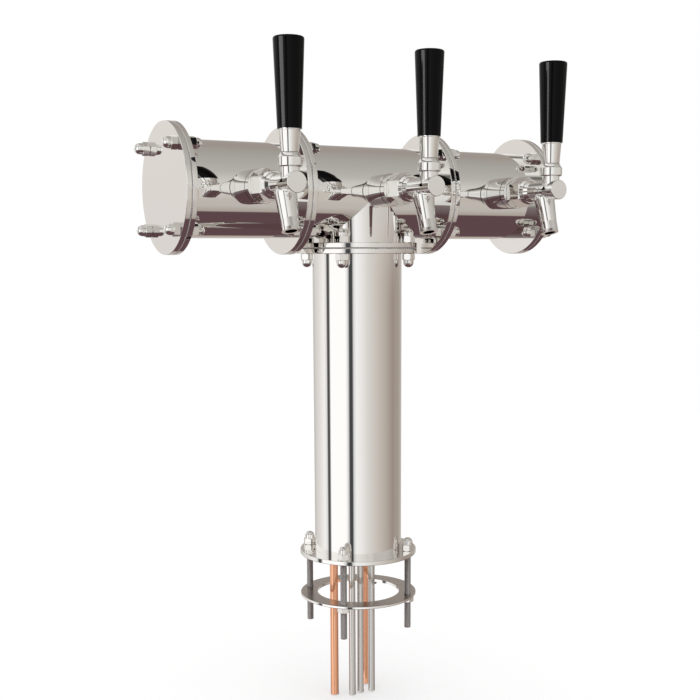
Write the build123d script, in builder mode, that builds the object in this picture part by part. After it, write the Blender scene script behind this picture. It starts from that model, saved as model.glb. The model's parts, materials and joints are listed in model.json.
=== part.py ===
from build123d import *
import os
from math import cos, radians, sin, sqrt, tan

# A three-tap beer tower: a T of polished pipe, bolted together at flanges.
# All lengths are in millimetres. The origin is the centre of the base
# flange's underside, which lies on the countertop. +Z is up, the pipe run
# lies along X, and the taps point towards -Y.

# ---- Driving dimensions -------------------------------------------------

# Pipe and flanges
pipe_outer_d = 101.6
pipe_wall = 2.0
flange_thickness = 5.6
base_flange_thickness = 5.0
flange_edge_radius = 0.6
gasket_thickness = 0.8
gasket_recess = 0.3
weld_gap = 0.05

# The T
column_height = 354.2
tee_drop = 61.0
tee_half_length = 88.85
arm_length = 132.45

# Bolted joints: studs with a domed nut at each end
bolt_to_pipe = 9.525
bolt_to_rim = 7.925
bolts_per_flange = 4
stud_d = 7.94
stud_hole_clearance = 0.15
thread_gap = 0.03
nut_across_flats = 12.7
dome_nut_hex_height = 7.4
dome_nut_neck_height = 2.4
dome_nut_dome_d = 11.6
stud_engagement = 11.0
stud_end_gap = 0.6

# Countertop clamp
rod_reach_below = 88.6
rod_tip_chamfer = 0.8
countertop_gap = 47.65
clamp_ring_inner_d = 97.0
clamp_ring_thickness = 3.0
clamp_slide_gap = 0.08
clamp_hole_clearance = 0.35
clamp_nut_height = 6.0

# Taps, as distances outwards from the run's axis ("reach")
tap_spacing = 156.0
shank_d = 22.2
shank_hole_clearance = 0.3
shank_tail_reach = 30.0
shank_bore_d = 6.4
shank_neck_d = 19.0
shank_neck_reach = 87.0
shank_collar_d = 23.6
shank_collar_thickness = 4.0
shank_end_reach = 104.0
shank_seal_pocket_depth = 11.5
outer_pad_reach = 57.4
outer_pad_d = 34.4
inner_pad_d = 34.0
inner_pad_reach = 44.0
locknut_across_flats = 30.0
locknut_height = 6.0
sleeve_d = 35.0
sleeve_seam_reach = 82.0
sleeve_seam_width = 1.1
sleeve_seam_depth = 1.2
sleeve_front_gap = 0.3
sleeve_edge_radius = 0.6

coupling_nut_rear_reach = 91.2
coupling_nut_hex_end_reach = 112.0
coupling_nut_front_reach = 117.6
coupling_nut_across_flats = 28.6
coupling_nut_front_d = 25.2
coupling_nut_turn = 30.0
coupling_nut_lip_gap = 0.1
coupling_nut_face_inset = 0.4
coupling_washer_thickness = 1.0

# Faucet body
body_thread_d = 23.4
body_cone_start_reach = 117.8
body_cone_end_reach = 122.5
barrel_d = 19.6
barrel_bore_d = 14.0
front_disc_d = 20.6
front_disc_width = 6.2
front_disc_edge_radius = 0.8
front_reach = 166.4
front_wall = 3.4
seat_bore_d = 11.0
seat_length = 3.0

spout_tilt = 17.0
spout_root_reach = 138.0
spout_length = 47.7
spout_elbow_drop = 10.0
spout_elbow_d = 22.0
spout_d = 18.4
spout_tip_d = 18.8
spout_bore_d = 11.0
spout_mouth_d = 12.0
spout_mouth_depth = 25.0
spout_taper_length = 36.0
spout_lip_length = 3.0

# Lever and its ball joint; heights are above the tap's axis
lever_reach = 151.4
lever_tilt = 22.0
pivot_height = 21.2
ball_d = 15.0
ball_gap = 0.08
throat_side_gap = 2.1
neck_d = 18.6
cup_d = 20.0
cup_below_pivot = 6.7
cup_above_pivot = 2.4
lever_stem_d = 7.0
lever_tail_length = 17.0
lever_tail_root_d = 4.4
lever_tail_tip_d = 2.6
lever_tip_ball_d = 4.0
lever_thread_d = 9.5
lever_thread_start = 12.6
lever_thread_length = 13.0
ball_washer_thickness = 1.6
ball_washer_gap = 0.05

bonnet_wall = 1.95
bonnet_edge_radius = 1.6
bonnet_shoulder_radius = 0.8
bonnet_ring_above_pivot = 2.8
bonnet_dome_inset = 0.8
bonnet_mouth_d = 15.0
bonnet_lip_d = 13.0
bonnet_lip_thickness = 1.2

# Handle: a chrome ferrule under a tapered grip
ferrule_bottom_d = 18.0
ferrule_top_d = 21.0
ferrule_dome_gap = 0.3
ferrule_top_height = 49.7
ferrule_spigot_d = 12.0
ferrule_spigot_length = 14.0
ferrule_groove_depth = 0.4
ferrule_groove_width = 0.6
grip_bottom_d = 23.6
grip_top_d = 30.0
grip_length = 85.1
grip_crown = 1.6
grip_edge_radius = 2.2

# Valve
valve_guide_length = 12.0
valve_guide_gap = 0.08
valve_rod_d = 5.0
valve_slot_length = 5.0
valve_slot_width = 4.6
valve_slot_floor_gap = 0.6
valve_neck_length = 3.0
seal_d = 14.4
seal_thickness = 3.0
seal_seat_gap = 0.2
seal_disc_thickness = 1.0
seal_side_gap = 1.0

# Lines: three beer lines and one copper cooling loop
line_end_drop = 173.0
beer_line_d = 7.94
beer_line_wall = 0.9
line_bend_radius = 22.0
line_socket_depth = 8.0
line_socket_gap = 0.05
line_row_y = -6.8
middle_line_y = -4.5
left_line_x = -12.2
right_line_x = 14.0
cooling_line_d = 9.53
cooling_line_wall = 0.8
cooling_loop_roof_gap = 0.4
cooling_supply_x = -30.0
cooling_supply_y = 5.0
cooling_return_x = 19.6
cooling_return_y = 17.5

# Hexagonal nuts
hex_sides = 6

# How closely an edge's radius has to match to be picked
rim_tolerance = 0.01

# ---- Derived sizes ------------------------------------------------------

pipe_r = pipe_outer_d / 2
pipe_bore_r = pipe_r - pipe_wall
bolt_circle_r = pipe_r + bolt_to_pipe
flange_r = bolt_circle_r + bolt_to_rim
flange_bore_r = pipe_r + weld_gap
first_bolt_angle = 180.0 / bolts_per_flange
stud_r = stud_d / 2
joint_stack = 2 * flange_thickness + gasket_thickness

collar_z = column_height + gasket_thickness / 2
tee_bottom_z = column_height + gasket_thickness
run_z = tee_bottom_z + tee_drop

arm_start_x = tee_half_length + gasket_thickness
arm_end_x = arm_start_x + arm_length
cover_x = arm_end_x + gasket_thickness

clamp_ring_top_z = -countertop_gap
clamp_ring_bottom_z = clamp_ring_top_z - clamp_ring_thickness
clamp_hole_r = stud_r + clamp_hole_clearance

shank_r = shank_d / 2
shank_hole_r = shank_r + shank_hole_clearance
body_rear_reach = shank_end_reach + coupling_washer_thickness
body_thread_r = body_thread_d / 2
seal_pocket_r = seal_d / 2 + seal_side_gap
barrel_r = barrel_d / 2
barrel_bore_r = barrel_bore_d / 2
ball_r = ball_d / 2
neck_r = neck_d / 2
cup_r = cup_d / 2
bonnet_r = cup_r + thread_gap + bonnet_wall
bonnet_dome_r = bonnet_r - bonnet_dome_inset
cooling_crest_y = (cooling_supply_y + cooling_return_y) / 2
cooling_crest_reach = pipe_bore_r - cooling_line_d / 2
cooling_crest_z = run_z + sqrt(cooling_crest_reach**2 - cooling_crest_y**2) - cooling_loop_roof_gap
tap_positions = {"left": -tap_spacing, "middle": 0.0, "right": tap_spacing}


# ---- Helpers ------------------------------------------------------------


def keep(piece, label):
    """Label a finished piece and write it as one STEP file."""
    piece.part.label = label
    export_step(piece.part, f"parts/{label}.step")


def outline(plane, points):
    """A closed straight-sided face on a plane."""
    with BuildSketch(plane) as face:
        with BuildLine():
            Polyline(*points, close=True)
        make_face()
    return face.sketch


def tap_side(tap_x):
    """Plane through a tap's axis: x is the reach outwards, y the height above it."""
    return Plane(origin=(tap_x, 0, run_z), x_dir=(0, -1, 0), z_dir=(-1, 0, 0))


def tap_front(tap_x, reach):
    """Plane square to a tap's axis, facing outwards."""
    return Plane(origin=(tap_x, -reach, run_z), x_dir=(1, 0, 0), z_dir=(0, -1, 0))


def tap_axis(tap_x):
    """A tap's own axis, pointing outwards."""
    return Axis((tap_x, 0, run_z), (0, -1, 0))


def lever_side(tap_x):
    """Upright plane through the pivot: x is a radius, y the height above it."""
    pivot = (tap_x, -lever_reach, run_z + pivot_height)
    return Plane(origin=pivot, x_dir=(1, 0, 0), z_dir=(0, -1, 0))


def lever_level(tap_x, height):
    """Level plane on the lever's axis, at a height above the pivot."""
    level_z = run_z + pivot_height + height
    return Plane(origin=(tap_x, -lever_reach, level_z), z_dir=(0, 0, 1))


def lever_axis(tap_x):
    """The lever's upright axis."""
    return Axis((tap_x, -lever_reach, run_z), (0, 0, 1))


def rims(piece, radius):
    """A piece's closed circular edges of one radius."""
    circles = piece.edges().filter_by(GeomType.CIRCLE)
    closed = circles.filter_by(lambda edge: edge.is_closed)
    return closed.filter_by(lambda edge: abs(edge.radius - radius) < rim_tolerance)


def sphere_height(radius, distance):
    """Height of a sphere's surface at a distance from its upright axis."""
    return sqrt(radius**2 - distance**2)


def across(x):
    """Plane square to the run, at a place along it, facing +X."""
    return Plane(origin=(x, 0, run_z), x_dir=(0, 0, 1), z_dir=(1, 0, 0))


def joint_planes():
    """Middle plane of each bolted joint, facing along its studs."""
    cover_joint_x = arm_end_x + gasket_thickness / 2
    tee_joint_x = tee_half_length + gasket_thickness / 2
    planes = [Plane(origin=(0, 0, collar_z), x_dir=(1, 0, 0), z_dir=(0, 0, 1))]
    for joint_x in (-cover_joint_x, -tee_joint_x, tee_joint_x, cover_joint_x):
        planes.append(across(joint_x))
    return planes


def flipped(plane):
    """The same plane, facing the other way."""
    return Plane(origin=plane.origin, x_dir=plane.x_dir, z_dir=-plane.z_dir)


# ---- Pipes and flanges --------------------------------------------------


def make_flange(plane, thickness, bore_r=0.0):
    """Bolted flange that starts on a plane; with no bore it is a solid cover."""
    with BuildPart() as flange:
        with BuildSketch(plane):
            Circle(flange_r)
            if bore_r:
                Circle(bore_r, mode=Mode.SUBTRACT)
            with PolarLocations(bolt_circle_r, bolts_per_flange, first_bolt_angle):
                Circle(stud_r + stud_hole_clearance, mode=Mode.SUBTRACT)
        extrude(amount=thickness)
        fillet(rims(flange, flange_r), radius=flange_edge_radius)
    return flange


def make_column_tube():
    """Upright pipe from the countertop to the collar."""
    with BuildPart() as column_tube:
        with BuildSketch():
            Circle(pipe_r)
            Circle(pipe_bore_r, mode=Mode.SUBTRACT)
        extrude(amount=column_height)
    return column_tube


def cut_shank_hole(tap_x):
    """Hole for a tap's shank through the front wall of the pipe in work."""
    with BuildSketch(tap_front(tap_x, 0)) as hole:
        Circle(shank_hole_r)
    extrude(hole.sketch, amount=pipe_outer_d, mode=Mode.SUBTRACT)


def tee_form(radius, half_length):
    """Solid T of round bars; equal bars meet on two mitre planes at 45 degrees."""
    with BuildPart() as mitre:
        corners = [(0, run_z), (tee_drop, tee_bottom_z), (-tee_drop, tee_bottom_z)]
        extrude(outline(Plane.XZ, corners), amount=pipe_outer_d, both=True)
    with BuildPart() as stem:
        with BuildSketch(Plane.XY.offset(tee_bottom_z)):
            Circle(radius)
        extrude(amount=tee_drop)
        add(mitre.part, mode=Mode.INTERSECT)
    with BuildPart() as form:
        with BuildSketch(across(-half_length)):
            Circle(radius)
        extrude(amount=2 * half_length)
        add(mitre.part, mode=Mode.SUBTRACT)
        add(stem.part)
    return form.part


def make_tee_body():
    """Mitred T of one pipe bore, with the middle tap's hole in its front."""
    with BuildPart() as tee_body:
        add(tee_form(pipe_r, tee_half_length))
        add(tee_form(pipe_bore_r, tee_half_length), mode=Mode.SUBTRACT)
        cut_shank_hole(tap_positions["middle"])
    return tee_body


def make_arm_pipe(start_x, tap_x):
    """Straight pipe of one arm, with its tap's hole."""
    with BuildPart() as arm_pipe:
        with BuildSketch(across(start_x)):
            Circle(pipe_r)
            Circle(pipe_bore_r, mode=Mode.SUBTRACT)
        extrude(amount=arm_length)
        cut_shank_hole(tap_x)
    return arm_pipe


def make_flange_gaskets():
    """One thin ring between the two flanges of each joint."""
    with BuildPart() as flange_gaskets:
        for plane in joint_planes():
            with BuildSketch(plane.offset(-gasket_thickness / 2)):
                Circle(flange_r - gasket_recess)
                Circle(pipe_bore_r, mode=Mode.SUBTRACT)
                with PolarLocations(bolt_circle_r, bolts_per_flange, first_bolt_angle):
                    Circle(stud_r + stud_hole_clearance, mode=Mode.SUBTRACT)
            extrude(amount=gasket_thickness)
    return flange_gaskets


# ---- Fasteners ----------------------------------------------------------


def make_dome_nut():
    """Domed nut that stands on the XY plane, with a blind hole from below."""
    dome_r = dome_nut_dome_d / 2
    neck_top = dome_nut_hex_height + dome_nut_neck_height
    corner_r = nut_across_flats / sqrt(3)
    with BuildPart() as dome_nut:
        with BuildSketch():
            RegularPolygon(nut_across_flats / 2, hex_sides, major_radius=False)
        extrude(amount=dome_nut_hex_height)
        bevel = corner_r - nut_across_flats / 2
        bevelled = outline(
            Plane.XZ,
            [
                (0, 0),
                (corner_r - bevel, 0),
                (corner_r, bevel / 2),
                (corner_r, dome_nut_hex_height - bevel / 2),
                (corner_r - bevel, dome_nut_hex_height),
                (0, dome_nut_hex_height),
            ],
        )
        revolve(bevelled, axis=Axis.Z, mode=Mode.INTERSECT)
        with BuildSketch(Plane.XY.offset(dome_nut_hex_height)):
            Circle(dome_r)
        extrude(amount=dome_nut_neck_height)
        with Locations((0, 0, neck_top)):
            Sphere(dome_r)
        with BuildSketch():
            Circle(stud_r + thread_gap)
        extrude(amount=stud_engagement + stud_end_gap, mode=Mode.SUBTRACT)
    return dome_nut


def make_joint_dome_nuts(dome_nut):
    """A domed nut on both faces of every joint."""
    with BuildPart() as joint_dome_nuts:
        for plane in joint_planes():
            for side in (plane, flipped(plane)):
                with Locations(side.offset(joint_stack / 2)):
                    with PolarLocations(bolt_circle_r, bolts_per_flange, first_bolt_angle):
                        add(dome_nut.part)
    return joint_dome_nuts


def make_joint_studs():
    """Studs through every joint, into both domed nuts."""
    stud_half_length = joint_stack / 2 + stud_engagement
    with BuildPart() as joint_studs:
        for plane in joint_planes():
            with BuildSketch(plane.offset(-stud_half_length)):
                with PolarLocations(bolt_circle_r, bolts_per_flange, first_bolt_angle):
                    Circle(stud_r)
            extrude(amount=2 * stud_half_length)
    return joint_studs


def make_mounting_rods():
    """Threaded rods from the base flange's nuts down through the countertop."""
    rod_top_z = base_flange_thickness + stud_engagement
    with BuildPart() as mounting_rods:
        with BuildSketch(Plane.XY.offset(-rod_reach_below)):
            with PolarLocations(bolt_circle_r, bolts_per_flange, first_bolt_angle):
                Circle(stud_r)
        extrude(amount=rod_reach_below + rod_top_z)
        tips = mounting_rods.edges().group_by(Axis.Z)[0]
        chamfer(tips, length=rod_tip_chamfer)
    return mounting_rods


def make_base_dome_nuts(dome_nut):
    """Domed nuts on top of the base flange."""
    with BuildPart() as base_dome_nuts:
        with Locations((0, 0, base_flange_thickness)):
            with PolarLocations(bolt_circle_r, bolts_per_flange, first_bolt_angle):
                add(dome_nut.part)
    return base_dome_nuts


def make_clamp_ring():
    """Ring that is drawn up against the countertop from below."""
    with BuildPart() as clamp_ring:
        with BuildSketch(Plane.XY.offset(clamp_ring_bottom_z)):
            Circle(flange_r)
            Circle(clamp_ring_inner_d / 2, mode=Mode.SUBTRACT)
            with PolarLocations(bolt_circle_r, bolts_per_flange, first_bolt_angle):
                Circle(clamp_hole_r, mode=Mode.SUBTRACT)
        extrude(amount=clamp_ring_thickness)
        fillet(rims(clamp_ring, flange_r), radius=flange_edge_radius)
    return clamp_ring


def make_clamp_nuts():
    """Hexagon nuts that push the clamp ring up."""
    with BuildPart() as clamp_nuts:
        with BuildSketch(Plane.XY.offset(clamp_ring_bottom_z - clamp_nut_height)):
            with PolarLocations(bolt_circle_r, bolts_per_flange, first_bolt_angle):
                RegularPolygon(nut_across_flats / 2, hex_sides, major_radius=False)
                Circle(stud_r + clamp_slide_gap, mode=Mode.SUBTRACT)
        extrude(amount=clamp_nut_height)
    return clamp_nuts


# ---- Shank and coupling -------------------------------------------------


def make_shank(tap_x):
    """Threaded tube that carries the tap through the pipe wall."""
    collar_reach = shank_end_reach - shank_collar_thickness
    socket_r = beer_line_d / 2 + line_socket_gap
    pocket_reach = shank_end_reach - shank_seal_pocket_depth
    with BuildPart() as shank:
        solid_outline = [
            (shank_tail_reach, 0),
            (shank_tail_reach, shank_r),
            (shank_neck_reach, shank_r),
            (shank_neck_reach, shank_neck_d / 2),
            (collar_reach, shank_neck_d / 2),
            (collar_reach, shank_collar_d / 2),
            (shank_end_reach, shank_collar_d / 2),
            (shank_end_reach, 0),
        ]
        revolve(outline(tap_side(tap_x), solid_outline), axis=tap_axis(tap_x))
        bore_outline = [
            (shank_tail_reach, 0),
            (shank_tail_reach, socket_r),
            (shank_tail_reach + line_socket_depth, socket_r),
            (shank_tail_reach + line_socket_depth, shank_bore_d / 2),
            (pocket_reach, shank_bore_d / 2),
            (pocket_reach, seal_pocket_r),
            (shank_end_reach, seal_pocket_r),
            (shank_end_reach, 0),
        ]
        bore = outline(tap_side(tap_x), bore_outline)
        revolve(bore, axis=tap_axis(tap_x), mode=Mode.SUBTRACT)
    return shank


def make_shank_sleeve(tap_x):
    """Polished sleeve over the shank, with a groove for its seam ring."""
    inner_r = shank_r + thread_gap
    outer_r = sleeve_d / 2
    front = coupling_nut_rear_reach - sleeve_front_gap
    groove_r = outer_r - sleeve_seam_depth
    with BuildPart() as shank_sleeve:
        sleeve_outline = [
            (outer_pad_reach, inner_r),
            (outer_pad_reach, outer_r),
            (sleeve_seam_reach, outer_r),
            (sleeve_seam_reach, groove_r),
            (sleeve_seam_reach + sleeve_seam_width, groove_r),
            (sleeve_seam_reach + sleeve_seam_width, outer_r),
            (front, outer_r),
            (front, inner_r),
        ]
        revolve(outline(tap_side(tap_x), sleeve_outline), axis=tap_axis(tap_x))
        front_rim = rims(shank_sleeve, outer_r).sort_by(Axis.Y)[0]
        fillet(front_rim, radius=sleeve_edge_radius)
    return shank_sleeve


def make_shank_pads():
    """Black pads between the shanks' hardware and the round pipe, and seam rings."""
    seam_outer_r = sleeve_d / 2 - sleeve_seam_depth / 2
    seam_inner_r = sleeve_d / 2 - sleeve_seam_depth
    with BuildPart() as inner_pads:
        for tap_x in tap_positions.values():
            with BuildSketch(tap_front(tap_x, inner_pad_reach)):
                Circle(inner_pad_d / 2)
            extrude(amount=pipe_r - inner_pad_reach)
        add(tee_form(pipe_bore_r - weld_gap, arm_end_x), mode=Mode.INTERSECT)
    with BuildPart() as outer_pads:
        for tap_x in tap_positions.values():
            with BuildSketch(tap_front(tap_x, inner_pad_reach)):
                Circle(outer_pad_d / 2)
            extrude(amount=outer_pad_reach - inner_pad_reach)
        add(tee_form(pipe_r + weld_gap, arm_end_x), mode=Mode.SUBTRACT)
    with BuildPart() as shank_pads:
        add(inner_pads.part)
        add(outer_pads.part)
        for tap_x in tap_positions.values():
            with BuildSketch(tap_front(tap_x, inner_pad_reach)):
                Circle(shank_hole_r)
            extrude(amount=outer_pad_reach - inner_pad_reach, mode=Mode.SUBTRACT)
            with BuildSketch(tap_front(tap_x, sleeve_seam_reach)):
                Circle(seam_outer_r)
                Circle(seam_inner_r, mode=Mode.SUBTRACT)
            extrude(amount=sleeve_seam_width)
    return shank_pads


def make_shank_locknuts():
    """Hexagon nuts inside the pipe, behind the inner pads."""
    with BuildPart() as shank_locknuts:
        for tap_x in tap_positions.values():
            nut_rear_reach = inner_pad_reach - locknut_height
            with BuildSketch(tap_front(tap_x, nut_rear_reach)):
                RegularPolygon(locknut_across_flats / 2, hex_sides, major_radius=False)
                Circle(shank_r + thread_gap, mode=Mode.SUBTRACT)
            extrude(amount=locknut_height)
    return shank_locknuts


def make_coupling_nut(tap_x):
    """Nut held behind the shank's collar that draws the faucet on."""
    lip_end = shank_end_reach - shank_collar_thickness - thread_gap
    corner_r = coupling_nut_across_flats / sqrt(3)
    flat_r = coupling_nut_across_flats / 2
    face_r = flat_r - coupling_nut_face_inset
    bevel = (corner_r - face_r) / 2
    with BuildPart() as coupling_nut:
        with BuildSketch(tap_front(tap_x, coupling_nut_rear_reach)):
            RegularPolygon(flat_r, hex_sides, major_radius=False, rotation=coupling_nut_turn)
        extrude(amount=coupling_nut_front_reach - coupling_nut_rear_reach)
        turned = [
            (coupling_nut_rear_reach, 0),
            (coupling_nut_rear_reach, face_r),
            (coupling_nut_rear_reach + bevel, corner_r),
            (coupling_nut_hex_end_reach, corner_r),
            (coupling_nut_hex_end_reach + bevel, face_r),
            (coupling_nut_front_reach, coupling_nut_front_d / 2),
            (coupling_nut_front_reach, 0),
        ]
        shape = outline(tap_side(tap_x), turned)
        revolve(shape, axis=tap_axis(tap_x), mode=Mode.INTERSECT)
        bore = [
            (coupling_nut_rear_reach, 0),
            (coupling_nut_rear_reach, shank_neck_d / 2 + coupling_nut_lip_gap),
            (lip_end, shank_neck_d / 2 + coupling_nut_lip_gap),
            (lip_end, shank_collar_d / 2 + thread_gap),
            (coupling_nut_front_reach, shank_collar_d / 2 + thread_gap),
            (coupling_nut_front_reach, 0),
        ]
        hollow = outline(tap_side(tap_x), bore)
        revolve(hollow, axis=tap_axis(tap_x), mode=Mode.SUBTRACT)
    return coupling_nut


def make_coupling_washers():
    """Sealing washers between the shanks and the faucet bodies."""
    with BuildPart() as coupling_washers:
        for tap_x in tap_positions.values():
            with BuildSketch(tap_front(tap_x, shank_end_reach)):
                Circle(body_thread_r)
                Circle(seal_pocket_r, mode=Mode.SUBTRACT)
            extrude(amount=coupling_washer_thickness)
    return coupling_washers


# ---- Faucet -------------------------------------------------------------


def spout_plane(tap_x):
    """Plane at the spout's root on the tap's axis, facing down the spout."""
    tilt = radians(spout_tilt)
    return Plane(
        origin=(tap_x, -spout_root_reach, run_z),
        x_dir=(1, 0, 0),
        z_dir=(0, -sin(tilt), -cos(tilt)),
    )


def spout_side(tap_x):
    """Plane through the spout's axis: x runs down the spout, y is a radius."""
    root = spout_plane(tap_x)
    return Plane(origin=root.origin, x_dir=root.z_dir, z_dir=(1, 0, 0))


def make_faucet_body(tap_x):
    """Barrel, neck with the ball's cup, and spout, all one hollow casting."""
    cup_bottom = pivot_height - cup_below_pivot
    with BuildPart() as faucet_body:
        barrel_outline = [
            (body_rear_reach, 0),
            (body_rear_reach, body_thread_r),
            (body_cone_start_reach, body_thread_r),
            (body_cone_end_reach, barrel_r),
            (front_reach - front_disc_width, barrel_r),
            (front_reach - front_disc_width, front_disc_d / 2),
            (front_reach, front_disc_d / 2),
            (front_reach, 0),
        ]
        revolve(outline(tap_side(tap_x), barrel_outline), axis=tap_axis(tap_x))
        front_rim = faucet_body.edges().group_by(Axis.Y)[0]
        fillet(front_rim, radius=front_disc_edge_radius)
        with BuildSketch(lever_level(tap_x, -pivot_height)):
            Circle(neck_r)
        extrude(amount=cup_bottom)
        with BuildSketch(lever_level(tap_x, -cup_below_pivot)):
            Circle(cup_r)
        extrude(amount=cup_below_pivot + cup_above_pivot)
        spout_outline = [
            (spout_elbow_drop, 0),
            (spout_elbow_drop, spout_elbow_d / 2),
            (spout_taper_length, spout_d / 2),
            (spout_length - spout_lip_length, spout_d / 2),
            (spout_length, spout_tip_d / 2),
            (spout_length, 0),
        ]
        root = spout_plane(tap_x)
        revolve(
            outline(spout_side(tap_x), spout_outline),
            axis=Axis(root.origin, root.z_dir),
        )
        with Locations(root.offset(spout_elbow_drop)):
            Sphere(spout_elbow_d / 2)
        bore_outline = [
            (body_rear_reach, 0),
            (body_rear_reach, seat_bore_d / 2),
            (body_rear_reach + seat_length, seat_bore_d / 2),
            (body_rear_reach + seat_length, barrel_bore_r),
            (front_reach - front_wall, barrel_bore_r),
            (front_reach - front_wall, 0),
        ]
        bore = outline(tap_side(tap_x), bore_outline)
        revolve(bore, axis=tap_axis(tap_x), mode=Mode.SUBTRACT)
        with BuildSketch(root):
            Circle(spout_bore_d / 2)
        extrude(amount=spout_length, mode=Mode.SUBTRACT)
        with BuildSketch(root.offset(spout_length - spout_mouth_depth)):
            Circle(spout_mouth_d / 2)
        extrude(amount=spout_mouth_depth, mode=Mode.SUBTRACT)
        with Locations(lever_level(tap_x, 0)):
            Sphere(ball_r + ball_gap, mode=Mode.SUBTRACT)
        with BuildSketch(lever_level(tap_x, 0)):
            Circle(ball_r + ball_gap)
        extrude(amount=cup_above_pivot, mode=Mode.SUBTRACT)
        throat_slope = tan(radians(lever_tilt))
        throat_outline = [
            (0, 0),
            (throat_side_gap, 0),
            (throat_side_gap + pivot_height * throat_slope, -pivot_height),
            (0, -pivot_height),
        ]
        throat = outline(lever_side(tap_x), throat_outline)
        revolve(throat, axis=lever_axis(tap_x), mode=Mode.SUBTRACT)
    return faucet_body


def make_bonnet(tap_x):
    """Ring nut with a domed top that holds the ball down in its cup."""
    mouth_r = bonnet_mouth_d / 2
    lip_r = bonnet_lip_d / 2
    lip_base = cup_above_pivot + ball_washer_thickness + 2 * ball_washer_gap
    lip_top = lip_base + bonnet_lip_thickness
    dome_start_r = sphere_height(bonnet_dome_r, bonnet_ring_above_pivot)
    mouth_height = sphere_height(bonnet_dome_r, mouth_r)
    middle_r = (dome_start_r + mouth_r) / 2
    with BuildPart() as bonnet:
        with BuildSketch(lever_side(tap_x)):
            with BuildLine():
                Polyline(
                    (mouth_r, mouth_height),
                    (lip_r, lip_top),
                    (lip_r, lip_base),
                    (cup_r + thread_gap, lip_base),
                    (cup_r + thread_gap, -cup_below_pivot),
                    (bonnet_r, -cup_below_pivot),
                    (bonnet_r, bonnet_ring_above_pivot),
                    (dome_start_r, bonnet_ring_above_pivot),
                )
                ThreePointArc(
                    (dome_start_r, bonnet_ring_above_pivot),
                    (middle_r, sphere_height(bonnet_dome_r, middle_r)),
                    (mouth_r, mouth_height),
                )
            make_face()
        revolve(axis=lever_axis(tap_x))
        fillet(rims(bonnet, bonnet_r).sort_by(Axis.Z)[-1], radius=bonnet_shoulder_radius)
        fillet(rims(bonnet, bonnet_r).sort_by(Axis.Z)[0], radius=bonnet_edge_radius)
    return bonnet


def make_ball_washers():
    """Friction washers that press on the tops of the lever balls."""
    washer_base = cup_above_pivot + ball_washer_gap
    with BuildPart() as ball_washers:
        for tap_x in tap_positions.values():
            with BuildSketch(lever_level(tap_x, washer_base)):
                Circle(cup_r - ball_washer_gap)
            extrude(amount=ball_washer_thickness)
        for tap_x in tap_positions.values():
            with Locations(lever_level(tap_x, 0)):
                Sphere(ball_r + ball_gap, mode=Mode.SUBTRACT)
    return ball_washers


def make_lever(tap_x):
    """Ball lever: threaded stem above the ball, thin tail into the valve below."""
    thread_end = lever_thread_start + lever_thread_length
    with BuildPart() as lever:
        with Locations(lever_level(tap_x, 0)):
            Sphere(ball_r)
        lever_outline = [
            (0, -lever_tail_length),
            (lever_tail_tip_d / 2, -lever_tail_length),
            (lever_tail_root_d / 2, 0),
            (lever_stem_d / 2, 0),
            (lever_stem_d / 2, lever_thread_start),
            (lever_thread_d / 2, lever_thread_start),
            (lever_thread_d / 2, thread_end),
            (0, thread_end),
        ]
        revolve(outline(lever_side(tap_x), lever_outline), axis=lever_axis(tap_x))
        with Locations(lever_level(tap_x, -lever_tail_length)):
            Sphere(lever_tip_ball_d / 2)
    return lever


def make_ferrule(tap_x):
    """Chrome socket of the handle, hollowed below to clear the bonnet's dome."""
    dome_clear_r = bonnet_dome_r + ferrule_dome_gap
    bottom = sphere_height(dome_clear_r, ferrule_bottom_d / 2)
    top = ferrule_top_height - pivot_height
    groove_base = top - 2 * ferrule_groove_width
    groove_r = ferrule_top_d / 2 - ferrule_groove_depth
    socket_top = lever_thread_start + lever_thread_length + stud_end_gap
    with BuildPart() as ferrule:
        ferrule_outline = [
            (0, bottom),
            (ferrule_bottom_d / 2, bottom),
            (ferrule_top_d / 2, groove_base),
            (groove_r, groove_base + ferrule_groove_width / 2),
            (ferrule_top_d / 2, groove_base + ferrule_groove_width),
            (ferrule_top_d / 2, top),
            (ferrule_spigot_d / 2, top),
            (ferrule_spigot_d / 2, top + ferrule_spigot_length),
            (0, top + ferrule_spigot_length),
        ]
        revolve(outline(lever_side(tap_x), ferrule_outline), axis=lever_axis(tap_x))
        with Locations(lever_level(tap_x, 0)):
            Sphere(dome_clear_r, mode=Mode.SUBTRACT)
        with BuildSketch(lever_level(tap_x, 0)):
            Circle(lever_thread_d / 2 + thread_gap)
        extrude(amount=socket_top, mode=Mode.SUBTRACT)
    return ferrule


def make_grip(tap_x):
    """Tapered grip with a crowned top, on the ferrule's spigot."""
    bottom = ferrule_top_height - pivot_height
    top_edge = bottom + grip_length - grip_crown
    top_r = grip_top_d / 2
    with BuildPart() as grip:
        with BuildSketch(lever_side(tap_x)):
            with BuildLine():
                Polyline(
                    (0, top_edge + grip_crown),
                    (0, bottom),
                    (grip_bottom_d / 2, bottom),
                    (top_r, top_edge),
                )
                crown_r = (top_r**2 + grip_crown**2) / (2 * grip_crown)
                crown_middle = sphere_height(crown_r, top_r / 2) - crown_r + grip_crown
                ThreePointArc(
                    (top_r, top_edge),
                    (top_r / 2, top_edge + crown_middle),
                    (0, top_edge + grip_crown),
                )
            make_face()
        revolve(axis=lever_axis(tap_x))
        fillet(rims(grip, top_r), radius=grip_edge_radius)
        with BuildSketch(lever_level(tap_x, bottom)):
            Circle(ferrule_spigot_d / 2 + thread_gap)
        extrude(amount=ferrule_spigot_length + stud_end_gap, mode=Mode.SUBTRACT)
    return grip


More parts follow.
